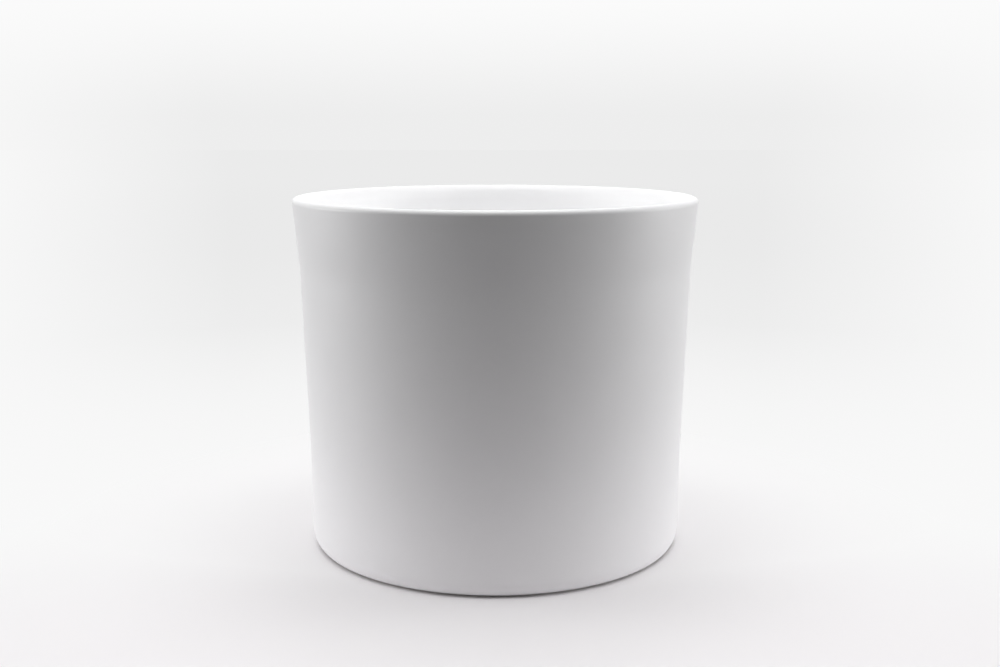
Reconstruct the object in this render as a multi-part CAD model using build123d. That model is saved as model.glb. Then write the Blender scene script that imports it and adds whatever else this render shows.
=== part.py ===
from build123d import *
import math
import os

# Sizes in millimetres. The pot stands on its pads at z = 0, with its axis on Z.

# Outside of the pot, over the glaze
rim_diameter = 220.0
overall_height = 191.5
flare_height = 36.5
shoulder_diameter = 213.5
belly_diameter = 206.0
foot_diameter = 200.4
heel_height = 8.0

# The wall starts upright and leans outwards, bending over this length each side of its corner
belly_bend = 32.0

# Wall, floor and lip
wall_thickness = 5.5
floor_thickness = 7.0
cove_width = 8.0
lip_outer_round = 2.6
lip_inner_round = 2.9

# Underside, ground flat on its foot ring and hollowed inside it
foot_ring_width = 11.0
hollow_depth = 2.4
hollow_slope_run = 3.2

# Pads stuck under the foot ring
pad_diameter = 8.0
pad_thickness = 1.0
pad_count = 4
first_pad_angle = 45.0

# Places that follow from the sizes above
rim_radius = rim_diameter / 2
shoulder_radius = shoulder_diameter / 2
shoulder_height = overall_height - flare_height
belly_radius = belly_diameter / 2
foot_radius = foot_diameter / 2
foot_level = pad_thickness
heel_level = foot_level + heel_height
hollow_level = foot_level + hollow_depth
floor_level = hollow_level + floor_thickness
ring_inner_radius = foot_radius - foot_ring_width
hollow_radius = ring_inner_radius - hollow_slope_run
pad_circle_radius = foot_radius - foot_ring_width / 2
crest = Vector(rim_radius - lip_outer_round, overall_height)
outward = Vector(1, 0)
upward = Vector(0, 1)


def lip_contact(start, lip_radius, side):
    """Where a straight from start runs into the round of the lip, on its outer or inner side."""
    centre = crest - upward * lip_radius
    sight = centre - start
    lean = math.atan2(sight.X, sight.Y) + side * math.asin(lip_radius / sight.length)
    return centre + Vector(math.cos(lean), -math.sin(lean)) * lip_radius * side


def outer_side():
    """From the foot round the heel, up the bellied wall to the shoulder line, flare and crest."""
    foot_edge = Vector(foot_radius, foot_level)
    belly = Vector(belly_radius, heel_level)
    belly_corner = belly + upward * belly_bend
    shoulder = Vector(shoulder_radius, shoulder_height)
    wall_foot = belly_corner + (shoulder - belly_corner).normalized() * belly_bend
    lip_edge = lip_contact(shoulder, lip_outer_round, 1)
    heel = TangentArc(belly, foot_edge, tangent=-upward)
    belly_arc = TangentArc(belly, wall_foot, tangent=upward)
    wall_and_flare = Polyline(wall_foot, shoulder, lip_edge)
    lip = TangentArc(crest, lip_edge, tangent=outward)
    return [heel, belly_arc, wall_and_flare, lip]


def inner_side():
    """From the centre of the floor up its sloped cove, the wall and the flare to the crest."""
    centre = Vector(0, floor_level)
    wall_foot = Vector(belly_radius - wall_thickness, floor_level)
    shoulder = Vector(shoulder_radius - wall_thickness, shoulder_height)
    cove_low = wall_foot - outward * cove_width
    cove_high = wall_foot + (shoulder - wall_foot).normalized() * cove_width
    lip_edge = lip_contact(shoulder, lip_inner_round, -1)
    floor_wall_and_flare = Polyline(centre, cove_low, cove_high, shoulder, lip_edge)
    lip = TangentArc(crest, lip_edge, tangent=-outward)
    return [floor_wall_and_flare, lip]


def underside():
    """From the axis across the hollow and down its slope to the ground foot ring."""
    return Polyline(
        Vector(0, hollow_level),
        Vector(hollow_radius, hollow_level),
        Vector(ring_inner_radius, foot_level),
        Vector(foot_radius, foot_level),
    )


def pot_body():
    """The cast and glazed body, turned from one closed outline."""
    axis_line = Line(Vector(0, hollow_level), Vector(0, floor_level))
    section = make_face(Curve() + [underside(), *outer_side(), *inner_side(), axis_line])
    return revolve(Plane.XZ * section, Axis.Z)


def foot_pad(number):
    """A die-cut pad, flat against the foot ring."""
    angle = first_pad_angle + number * 360 / pad_count
    disc = Cylinder(pad_diameter / 2, pad_thickness, align=(Align.CENTER, Align.CENTER, Align.MIN))
    return Rot(0, 0, angle) * Pos(pad_circle_radius, 0, 0) * disc


os.makedirs("parts", exist_ok=True)
export_step(pot_body(), "parts/pot_body.step")
for number in range(pad_count):
    export_step(foot_pad(number), f"parts/foot_pad_{number + 1}.step")
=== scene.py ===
import math

import bmesh
import bpy
from mathutils import Matrix, Vector


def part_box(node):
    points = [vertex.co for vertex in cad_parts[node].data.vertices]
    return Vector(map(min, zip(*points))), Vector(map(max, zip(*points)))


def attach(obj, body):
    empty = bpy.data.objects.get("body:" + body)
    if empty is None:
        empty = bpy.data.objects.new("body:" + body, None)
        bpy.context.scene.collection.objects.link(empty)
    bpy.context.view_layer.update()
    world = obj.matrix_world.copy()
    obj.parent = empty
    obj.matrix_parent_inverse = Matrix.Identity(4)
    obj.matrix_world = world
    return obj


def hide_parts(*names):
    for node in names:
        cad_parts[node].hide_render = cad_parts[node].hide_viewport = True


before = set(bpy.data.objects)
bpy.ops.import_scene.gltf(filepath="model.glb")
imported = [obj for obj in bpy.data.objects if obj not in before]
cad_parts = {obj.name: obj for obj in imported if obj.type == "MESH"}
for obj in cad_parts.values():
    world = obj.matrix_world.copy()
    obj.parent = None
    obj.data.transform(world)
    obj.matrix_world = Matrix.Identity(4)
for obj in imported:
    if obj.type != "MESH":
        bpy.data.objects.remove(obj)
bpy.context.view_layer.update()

# Sizes in metres. The pot's axis is Z, and its pads stand at z = 0.
mm = 0.001
pot_low, pot_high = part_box("pot_body")

# Outside of the pot, over the glaze
rim_radius = min(pot_high.x, pot_high.y, -pot_low.x, -pot_low.y)
crest_level = pot_high.z
foot_level = pot_low.z
flare_height = 36.5 * mm
shoulder_radius = 106.75 * mm
shoulder_blend = 5.0 * mm
belly_radius = 103.0 * mm
belly_bend = 32.0 * mm
heel_height = 8.0 * mm
foot_radius = 100.2 * mm
foot_edge_round = 0.6 * mm

# Wall, floor and lip
wall_thickness = 5.5 * mm
floor_thickness = 7.0 * mm
cove_width = 8.0 * mm
lip_outer_round = 2.6 * mm
lip_inner_width = 5.4 * mm
lip_inner_fall = 8.5 * mm

# Underside
foot_ring_width = 11.0 * mm
hollow_depth = 2.4 * mm
hollow_slope_run = 3.2 * mm
hollow_edge_blend = 1.4 * mm
ring_edge_blend = 0.6 * mm

# Pads under the foot ring
pad_edge_round = 0.16 * mm

# How finely round shapes are divided, in whole turns and in the arcs of an outline
turns_of_pot = 256
turns_of_pad = 64
small_edge_steps = 4
hollow_edge_steps = 5
heel_steps = 12
belly_steps = 10
shoulder_steps = 6
lip_outer_steps = 12
lip_inner_steps = 14
cove_steps = 12
merge_distance = 0.001 * mm

# The glaze: a faint mottle of two whites, more matt where it is lighter, on an orange peel and a slow
# ripple. A pattern has a scale, in waves to a metre, and a detail.
glaze_white = (0.848, 0.847, 0.854, 1)
glaze_light_white = (0.866, 0.865, 0.872, 1)
satin_roughness = (0.40, 0.46)
satin_mottle = (0.3, 0.7)
glaze_ior = 1.5
mottle_pattern = (38.0, 3.0)
peel_pattern = (420.0, 1.0)
peel_share = 0.25
ripple_pattern = (60.0, 1.0)
glaze_bump_strength = 0.5
glaze_bump_height = 0.06 * mm

# The body, ground bare on the flat of the foot ring up to a ragged edge of the glaze
body_dark = (0.72, 0.705, 0.68, 1)
body_light = (0.80, 0.79, 0.77, 1)
body_roughness = 0.85
speckle_pattern = (900.0, 2.0)
ragged_pattern = (260.0, 2.0)
bare_rise = 0.5 * mm
bare_blend = 0.1 * mm

# The pads' foam
foam_dark = (0.035, 0.035, 0.036, 1)
foam_light = (0.055, 0.055, 0.056, 1)
foam_roughness = 0.9
foam_cloud_pattern = (600.0, 2.0)
foam_cell_scale = 4200.0
foam_bump_strength = 0.6
foam_bump_height = 0.08 * mm

# The floor as it is seen, and the light it scatters back, set apart from its seen colour as painted
# shade: next to none from under the pot, which deepens the dark line under the foot, most of it from a
# ring round the pot, and little from further out
floor_size = 16.0
floor_tint = (1.0, 0.980, 0.993, 1)
floor_brightness = 0.852
# The light the floor scatters back is tinted apart from its seen colour, which tints the pot's lower
# wall
bounce_tint = (1.0, 0.966, 0.992, 1)
bounce_under = 0.05
bounce_near = 0.98
bounce_far = 0.05
bounce_rise = (0.092, 0.100)
bounce_fall = (0.17, 0.34)

# Painted light: where the camera sees the floor, a glow of the background's tone lightens the pot's
# shadow. The shadow is kept whole in a patch in front of the pot, wider than it is deep, and outwards
# from the patch's middle the glow takes over. Near the pot most of the shadow is kept all round, and
# under the heel all of it.
kept_shadow_shift = (0.0, 0.20, 0.0)
kept_shadow_stretch = (0.5, 1.0, 1.0)
painted_glow_rise = (0.085, 0.25)
near_pot_glow_cap_reach = (0.10, 0.26)
near_pot_painted_glow = 0.2
heel_shade = (0.100, 0.107)

# Tones of the background, out along the floor and up the wall behind it, lighter at its sides
floor_tone_reach = (0.14, 4.0)
floor_tones = [(0.0, 0.945), (0.045, 0.93), (0.10, 0.89), (0.16, 0.845), (0.40, 0.812), (1.0, 0.835)]
wall_tones = [(0.0, 0.838), (0.045, 0.91), (0.10, 0.985)]
side_tone = 0.96
side_rise = (0.21, 0.42)

# Even light from all round, and soft lamps round the pot: name, place, width, depth and watts
ambient_brightness = 0.108
lamps = [
    ("top_lamp", (0.0, 0.0, 1.50), 1.20, 1.20, 16.2),
    ("back_lamp", (0.0, 1.05, 0.95), 0.90, 0.80, 2.5),
    ("left_lamp", (-0.90, 0.0, 1.20), 0.90, 0.90, 2.4),
    ("right_lamp", (0.90, 0.0, 1.20), 0.90, 0.90, 2.4),
    ("low_left_lamp", (-1.30, 0.11, 0.25), 0.90, 0.32, 7.7),
    ("low_right_lamp", (1.30, 0.11, 0.25), 0.90, 0.32, 7.7),
]
lamp_aim = Vector((0.0, 0.0, 0.10))

# A small lamp inside the pot, facing up, lights the inner wall under the lip and nothing outside
inside_lamp_place = Vector((0.0, 0.0, 0.105))
inside_lamp_width = 0.05
inside_lamp_watts = 0.102

# The camera, at the photograph's viewing angle
camera_place = Vector((0.0, -0.6735, 0.2343))
camera_down = math.radians(10.06)
camera_turn = math.radians(-0.218)
camera_lens = 44.11


# Outlines, drawn in the XZ plane by a point that moves and turns

def at(radius, height):
    """A place in the plane of the outline."""
    return Vector((radius, 0, height))


def new_outline(start):
    """A mesh with one point, where an outline starts."""
    bm = bmesh.new()
    return bm, bm.verts.new(start)


def line_to(bm, pen, place):
    """Draws a straight edge to a place and returns its end."""
    end = bmesh.ops.extrude_vert_indiv(bm, verts=[pen])["verts"][0]
    end.co = place
    return end


def arc_about(bm, pen, centre, angle, steps):
    """Draws an arc about a centre, clockwise as seen from the front, and returns its end."""
    turned = bmesh.ops.spin(
        bm, geom=[pen], cent=centre, axis=(0, 1, 0), angle=angle, steps=steps, use_duplicate=False
    )
    return turned["geom_last"][0]


def rounded_corner(bm, pen, corner, after, reach, steps):
    """Draws up to a corner and rounds it, ending a reach past it on the way to the next place."""
    way_in = (corner - pen.co).normalized()
    way_out = (after - corner).normalized()
    turn = way_in.angle(way_out)
    side = math.copysign(1, way_in.cross(way_out).y)
    inward = way_in.cross(Vector((0, -side, 0)))
    pen = line_to(bm, pen, corner - way_in * reach)
    centre = pen.co + inward * reach / math.tan(turn / 2)
    return arc_about(bm, pen, centre, side * turn, steps)


def lean_into_round(start, centre, radius, side):
    """How far a straight leans from upright that runs up into a round, on its outer or inner side."""
    sight = centre - start
    return math.atan2(sight.x, sight.z) + side * math.asin(radius / sight.length)


def turned_solid(bm, steps):
    """Spins a finished outline about Z into a closed solid with its faces outwards."""
    bmesh.ops.spin(
        bm, geom=bm.verts[:] + bm.edges[:], cent=(0, 0, 0), axis=(0, 0, 1),
        angle=math.tau, steps=steps, use_merge=True,
    )
    bmesh.ops.remove_doubles(bm, verts=bm.verts[:], dist=merge_distance)
    bmesh.ops.recalc_face_normals(bm, faces=bm.faces[:])


def new_object(bm, name, material):
    """Turns a finished bmesh into an object in the scene."""
    mesh = bpy.data.meshes.new(name)
    bm.to_mesh(mesh)
    bm.free()
    mesh.materials.append(material)
    thing = bpy.data.objects.new(name, mesh)
    bpy.context.scene.collection.objects.link(thing)
    return thing


def finish_piece(bm, name, material, node):
    """Makes a smooth piece that stands for a CAD node and rides with the pot."""
    piece = new_object(bm, name, material)
    piece.data.shade_smooth()
    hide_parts(node)
    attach(piece, "root")


# The pot and its pads

def draw_underside(bm, pen):
    """From the axis over the glazed hollow and the ground foot ring to the foot's edge."""
    hollow_level = foot_level + hollow_depth
    ring_inner_radius = foot_radius - foot_ring_width
    hollow_edge = at(ring_inner_radius - hollow_slope_run, hollow_level)
    ring_edge = at(ring_inner_radius, foot_level)
    foot_edge = at(foot_radius, foot_level)
    pen = rounded_corner(bm, pen, hollow_edge, ring_edge, hollow_edge_blend, hollow_edge_steps)
    return rounded_corner(bm, pen, ring_edge, foot_edge, ring_edge_blend, small_edge_steps)


def draw_outside(bm, pen):
    """Round the heel, up the bellied wall and over the shoulder to the crest of the lip."""
    heel_inset = belly_radius - foot_radius
    heel_reach = (heel_height ** 2 + heel_inset ** 2) / (2 * heel_height)
    belly_level = foot_level + heel_height
    foot_edge = at(foot_radius, foot_level)
    heel = at(belly_radius, belly_level - heel_reach)
    belly = at(belly_radius, belly_level + belly_bend)
    shoulder = at(shoulder_radius, crest_level - flare_height)
    crest = at(rim_radius - lip_outer_round, crest_level)
    lean = lean_into_round(shoulder, crest - at(0, lip_outer_round), lip_outer_round, 1)
    lip_reach = lip_outer_round * math.tan((math.pi / 2 + lean) / 2)
    lip_corner = crest + at(lip_reach, 0)
    pen = rounded_corner(bm, pen, foot_edge, heel, foot_edge_round, small_edge_steps)
    pen = rounded_corner(bm, pen, heel, belly, heel_reach - foot_edge_round, heel_steps)
    pen = rounded_corner(bm, pen, belly, shoulder, belly_bend, belly_steps)
    pen = rounded_corner(bm, pen, shoulder, lip_corner, shoulder_blend, shoulder_steps)
    return rounded_corner(bm, pen, lip_corner, crest, lip_reach, lip_outer_steps)


def draw_inside(bm, pen):
    """Down the soft inner fall of the lip, the inner wall and the cove to the middle of the floor.

    The fall is drawn as a round and then stretched downwards. It ends where the straight of the flare
    meets it, which is found with the shoulder squeezed up by as much.
    """
    crest = pen.co.copy()
    inner_floor_level = foot_level + hollow_depth + floor_thickness
    inner_shoulder = at(shoulder_radius - wall_thickness, crest_level - flare_height)
    inner_foot = at(belly_radius - wall_thickness, inner_floor_level)
    floor_middle = at(0, inner_floor_level)
    stretch = lip_inner_fall / lip_inner_width
    centre = crest - at(0, lip_inner_width)
    squeezed_shoulder = at(inner_shoulder.x, crest_level - flare_height / stretch)
    lean = lean_into_round(squeezed_shoulder, centre, lip_inner_width, -1)
    before = set(bm.verts)
    pen = arc_about(bm, pen, centre, lean - math.pi / 2, lip_inner_steps)
    fall = [vert for vert in bm.verts if vert not in before]
    bmesh.ops.scale(bm, vec=(1, 1, stretch), space=Matrix.Translation(-crest), verts=fall)
    pen = rounded_corner(bm, pen, inner_shoulder, inner_foot, shoulder_blend, shoulder_steps)
    pen = rounded_corner(bm, pen, inner_foot, floor_middle, cove_width, cove_steps)
    line_to(bm, pen, floor_middle)


def make_pot(glaze):
    """The glazed body, one solid turned from its whole outline."""
    bm, pen = new_outline(at(0, foot_level + hollow_depth))
    pen = draw_underside(bm, pen)
    pen = draw_outside(bm, pen)
    draw_inside(bm, pen)
    turned_solid(bm, turns_of_pot)
    finish_piece(bm, "glazed_pot", glaze, "pot_body")


def make_pad(number, foam):
    """A foam pad, cut with a slightly softened edge, under the foot ring."""
    node = f"foot_pad_{number}"
    low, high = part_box(node)
    middle = (low + high) / 2
    radius = (high.x - low.x) / 2
    bottom_edge = at(radius, low.z)
    top_edge = at(radius, high.z)
    top_middle = at(0, high.z)
    bm, pen = new_outline(at(0, low.z))
    pen = rounded_corner(bm, pen, bottom_edge, top_edge, pad_edge_round, small_edge_steps)
    pen = rounded_corner(bm, pen, top_edge, top_middle, pad_edge_round, small_edge_steps)
    line_to(bm, pen, top_middle)
    turned_solid(bm, turns_of_pad)
    bmesh.ops.translate(bm, vec=(middle.x, middle.y, 0), verts=bm.verts[:])
    finish_piece(bm, f"foam_pad_{number}", foam, node)


# Shader helpers

def add(tree, kind, links=(), **values):
    """A node with its properties set, and its inputs set or linked by name or place."""
    node = tree.nodes.new(kind)
    for name, value in values.items():
        setattr(node, name, value)
    for socket, value in links:
        if isinstance(value, bpy.types.NodeSocket):
            tree.links.new(value, node.inputs[socket])
        else:
            node.inputs[socket].default_value = value
    return node


def new_material(name):
    """An empty node material, with its tree."""
    material = bpy.data.materials.new(name)
    material.use_nodes = True
    material.node_tree.nodes.clear()
    return material, material.node_tree


def math_node(tree, operation, first, second=0.0):
    """A number worked out from one or two others."""
    return add(tree, "ShaderNodeMath", [(0, first), (1, second)], operation=operation).outputs[0]


def length_of(tree, vector):
    """A vector's length."""
    return add(tree, "ShaderNodeVectorMath", [(0, vector)], operation="LENGTH").outputs["Value"]


def map_range(tree, value, low, high, to_low, to_high, smooth=False):
    """A value carried from one range to another, held at its ends."""
    kind = "SMOOTHSTEP" if smooth else "LINEAR"
    node = add(tree, "ShaderNodeMapRange", [
        ("Value", value),
        ("From Min", low),
        ("From Max", high),
        ("To Min", to_low),
        ("To Max", to_high),
    ], interpolation_type=kind)
    return node.outputs["Result"]


def mix_value(tree, factor, first, second):
    """A blend of two numbers, which are a Mix node's inputs 2 and 3."""
    return add(tree, "ShaderNodeMix", [(0, factor), (2, first), (3, second)]).outputs[0]


def mix_colour(tree, factor, first, second):
    """A blend of two colours, which are a Mix node's inputs 6 and 7 and come out of its output 2."""
    links = [(0, factor), (6, first), (7, second)]
    return add(tree, "ShaderNodeMix", links, data_type="RGBA").outputs[2]


def noise(tree, place, scale, detail):
    """A noise value over the surface."""
    links = [("Vector", place), ("Scale", scale), ("Detail", detail)]
    return add(tree, "ShaderNodeTexNoise", links).outputs["Fac"]


def bumped(tree, height, strength, distance):
    """The surface's normal, bumped by a height."""
    links = [("Height", height), ("Strength", strength), ("Distance", distance)]
    return add(tree, "ShaderNodeBump", links).outputs["Normal"]


def grey(level):
    """A grey of a given level."""
    return (level, level, level, 1)


# Materials of the pot and its pads

def bare_share(tree, place):
    """1 on the ground flat of the foot ring and 0 above it, with a ragged edge between."""
    axes = add(tree, "ShaderNodeSeparateXYZ", [("Vector", place)])
    rise = math_node(tree, "MULTIPLY", noise(tree, place, *ragged_pattern), bare_rise)
    edge = math_node(tree, "ADD", rise, foot_level)
    above = math_node(tree, "SUBTRACT", axes.outputs["Z"], edge)
    return map_range(tree, above, 0.0, bare_blend, 1.0, 0.0, smooth=True)


def make_glaze():
    """Satin white glaze over a cast body, ground bare on the flat of the foot ring."""
    material, tree = new_material("satin_white_glaze")
    place = add(tree, "ShaderNodeTexCoord").outputs["Object"]
    bare = bare_share(tree, place)
    mottle = noise(tree, place, *mottle_pattern)
    speckle = noise(tree, place, *speckle_pattern)
    glaze_colour = mix_colour(tree, mottle, glaze_white, glaze_light_white)
    body_colour = mix_colour(tree, speckle, body_dark, body_light)
    colour = mix_colour(tree, bare, glaze_colour, body_colour)
    satin = map_range(tree, mottle, *satin_mottle, *satin_roughness)
    roughness = mix_value(tree, bare, satin, body_roughness)
    peel = math_node(tree, "MULTIPLY", noise(tree, place, *peel_pattern), peel_share)
    waves = math_node(tree, "ADD", peel, noise(tree, place, *ripple_pattern))
    height = math_node(tree, "ADD", waves, math_node(tree, "MULTIPLY", speckle, bare))
    surface = add(tree, "ShaderNodeBsdfPrincipled", [
        ("Base Color", colour),
        ("Roughness", roughness),
        ("IOR", glaze_ior),
        ("Normal", bumped(tree, height, glaze_bump_strength, glaze_bump_height)),
    ])
    add(tree, "ShaderNodeOutputMaterial", [("Surface", surface.outputs[0])])
    return material


def make_foam():
    """Dark closed-cell foam rubber."""
    material, tree = new_material("foam_rubber")
    place = add(tree, "ShaderNodeTexCoord").outputs["Object"]
    cloud = noise(tree, place, *foam_cloud_pattern)
    cells = add(tree, "ShaderNodeTexVoronoi", [("Vector", place), ("Scale", foam_cell_scale)])
    surface = add(tree, "ShaderNodeBsdfPrincipled", [
        ("Base Color", mix_colour(tree, cloud, foam_dark, foam_light)),
        ("Roughness", foam_roughness),
        ("Normal", bumped(tree, cells.outputs["Distance"], foam_bump_strength, foam_bump_height)),
    ])
    add(tree, "ShaderNodeOutputMaterial", [("Surface", surface.outputs[0])])
    return material


# The background, which the floor and the world share

def seen_directly(tree):
    """1 for what the camera sees straight, in a gloss or through glass, 0 for scattered light."""
    path = add(tree, "ShaderNodeLightPath").outputs
    seen = math_node(tree, "MAXIMUM", path["Is Camera Ray"], path["Is Glossy Ray"])
    return math_node(tree, "MAXIMUM", seen, path["Is Transmission Ray"])


def tone_ramp(tree, value, tones):
    """Grey tones along a value from 0 to 1."""
    ramp = add(tree, "ShaderNodeValToRGB", [("Fac", value)])
    ramp.color_ramp.interpolation = "B_SPLINE"
    stops = ramp.color_ramp.elements
    for position, _ in tones[1:-1]:
        stops.new(position)
    for stop, (position, tone) in zip(stops, tones):
        stop.position = position
        stop.color = grey(tone)
    return ramp.outputs["Color"]


def make_side_glow():
    """A node group that carries a tone up to near white on both sides of the background.

    Across is how far to the side a place lies, as a share of how far it is from the camera.
    """
    group = bpy.data.node_groups.new("side_glow", "ShaderNodeTree")
    group.interface.new_socket("Across", in_out="INPUT", socket_type="NodeSocketFloat")
    group.interface.new_socket("Tone", in_out="INPUT", socket_type="NodeSocketColor")
    group.interface.new_socket("Tone", in_out="OUTPUT", socket_type="NodeSocketColor")
    given = add(group, "NodeGroupInput").outputs
    share = map_range(group, given["Across"], *side_rise, 0.0, 1.0)
    tone = mix_colour(group, share, given["Tone"], grey(side_tone))
    add(group, "NodeGroupOutput", [("Tone", tone)])
    return group


def background_tone(tree, side_glow, across, along, tones):
    """The background's tone at a share of its length, lighter at its sides."""
    links = [("Across", across), ("Tone", tone_ramp(tree, along, tones))]
    return add(tree, "ShaderNodeGroup", links, node_tree=side_glow).outputs["Tone"]


# Stage: floor, world, lamps and camera

def floor_colour_and_painted_bounce(tree, distance, seen):
    """The floor's own colour where it is seen, and where it isn't, how much it scatters back, which is
    painted shade.
    """
    # Painted shade: under the pot and far from it the floor scatters little light back, unlike its seen
    # colour
    under = map_range(tree, distance, *bounce_rise, bounce_under, bounce_near, smooth=True)
    around = map_range(tree, distance, *bounce_fall, bounce_near, bounce_far, smooth=True)
    bounce = math_node(tree, "MINIMUM", under, around)
    level = mix_value(tree, seen, bounce, floor_brightness)
    tint = mix_colour(tree, seen, bounce_tint, floor_tint)
    links = [("Vector", tint), ("Scale", level)]
    return add(tree, "ShaderNodeVectorMath", links, operation="SCALE").outputs["Vector"]


def backdrop_and_painted_glow_share(tree, place, distance):
    """How much painted glow of the background's tone covers the floor, from 0 where the pot's shadow is
    kept to 1 far off.
    """
    # Painted light: this share of glow lightens the floor's own light and shadow near the pot
    links = [("Vector", place), ("Location", kept_shadow_shift), ("Scale", kept_shadow_stretch)]
    from_kept_shadow = length_of(tree, add(tree, "ShaderNodeMapping", links).outputs["Vector"])
    faded = map_range(tree, from_kept_shadow, *painted_glow_rise, 0.0, 1.0, smooth=True)
    most = map_range(tree, distance, *near_pot_glow_cap_reach, near_pot_painted_glow, 1.0)
    past_heel = map_range(tree, distance, *heel_shade, 0.0, 1.0)
    return math_node(tree, "MULTIPLY", math_node(tree, "MINIMUM", faded, most), past_heel)


def make_floor(side_glow):
    """A pale floor with the pot's shadow, lightened near the pot by painted glow except in front and
    under the heel, running into the background far off.
    """
    material, tree = new_material("pale_floor")
    place = add(tree, "ShaderNodeTexCoord").outputs["Object"]
    axes = add(tree, "ShaderNodeSeparateXYZ", [("Vector", place)])
    distance = length_of(tree, place)
    seen = seen_directly(tree)
    own_light = add(tree, "ShaderNodeBsdfDiffuse", [("Color", floor_colour_and_painted_bounce(tree, distance, seen))])
    sideways = math_node(tree, "ABSOLUTE", axes.outputs["X"])
    across = math_node(tree, "DIVIDE", sideways, math_node(tree, "ADD", distance, -camera_place.y))
    along = map_range(tree, distance, *floor_tone_reach, 0.0, 1.0)
    glow_tone = background_tone(tree, side_glow, across, along, floor_tones)
    backdrop_and_painted_glow = add(tree, "ShaderNodeEmission", [("Color", glow_tone)])
    # Painted light: where the camera sees the floor, the glow lightens the pot's shadow by this share
    share = math_node(tree, "MULTIPLY", backdrop_and_painted_glow_share(tree, place, distance), seen)
    links = [(0, share), (1, own_light.outputs[0]), (2, backdrop_and_painted_glow.outputs[0])]
    surface = add(tree, "ShaderNodeMixShader", links)
    add(tree, "ShaderNodeOutputMaterial", [("Surface", surface.outputs[0])])
    bm = bmesh.new()
    bmesh.ops.create_grid(bm, x_segments=1, y_segments=1, size=floor_size / 2)
    floor = new_object(bm, "floor", material)


def make_world(side_glow):
    """A pale wall at the end of the floor where it is seen, and a little even light from all round."""
    world = bpy.data.worlds.new("studio")
    bpy.context.scene.world = world
    world.use_nodes = True
    tree = world.node_tree
    tree.nodes.clear()
    way = add(tree, "ShaderNodeTexCoord").outputs["Generated"]
    axes = add(tree, "ShaderNodeSeparateXYZ", [("Vector", way)])
    floor_end = floor_size / 2
    sideways = math_node(tree, "ABSOLUTE", axes.outputs["X"])
    across = math_node(tree, "MULTIPLY", sideways, floor_end / (floor_end - camera_place.y))
    tone = background_tone(tree, side_glow, across, axes.outputs["Z"], wall_tones)
    wall = add(tree, "ShaderNodeBackground", [("Color", tone)])
    ambient = add(tree, "ShaderNodeBackground", [("Color", grey(1.0)), ("Strength", ambient_brightness)])
    links = [(0, seen_directly(tree)), (1, ambient.outputs[0]), (2, wall.outputs[0])]
    surface = add(tree, "ShaderNodeMixShader", links)
    add(tree, "ShaderNodeOutputWorld", [("Surface", surface.outputs[0])])


def make_lamp(name, shape, place, aim, width, depth, watts):
    """A flat lamp that faces its aim and that the camera doesn't see."""
    light = bpy.data.lights.new(name, "AREA")
    light.shape = shape
    light.size = width
    light.size_y = depth
    light.energy = watts
    lamp = bpy.data.objects.new(name, light)
    lamp.location = place
    lamp.rotation_euler = (aim - lamp.location).to_track_quat("-Z", "Y").to_euler()
    lamp.visible_camera = False
    bpy.context.scene.collection.objects.link(lamp)


def make_lamps():
    """The lamps round the pot and the small one inside it."""
    for name, place, width, depth, watts in lamps:
        make_lamp(name, "RECTANGLE", place, lamp_aim, width, depth, watts)
    mouth = Vector((0, 0, crest_level))
    width = inside_lamp_width
    make_lamp("inside_lamp", "ELLIPSE", inside_lamp_place, mouth, width, width, inside_lamp_watts)


def make_camera():
    """The camera, set down and turned from a level view along Y."""
    camera = bpy.data.objects.new("camera", bpy.data.cameras.new("camera"))
    camera.data.lens = camera_lens
    camera.location = camera_place
    camera.rotation_euler = (math.pi / 2 - camera_down, 0, camera_turn)
    bpy.context.scene.collection.objects.link(camera)
    bpy.context.scene.camera = camera


make_pot(make_glaze())
foam = make_foam()
pad_count = sum(name.startswith("foot_pad_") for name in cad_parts)
for number in range(1, pad_count + 1):
    make_pad(number, foam)
side_glow = make_side_glow()
make_floor(side_glow)
make_world(side_glow)
make_lamps()
make_camera()
bpy.context.scene.view_settings.view_transform = "Standard"
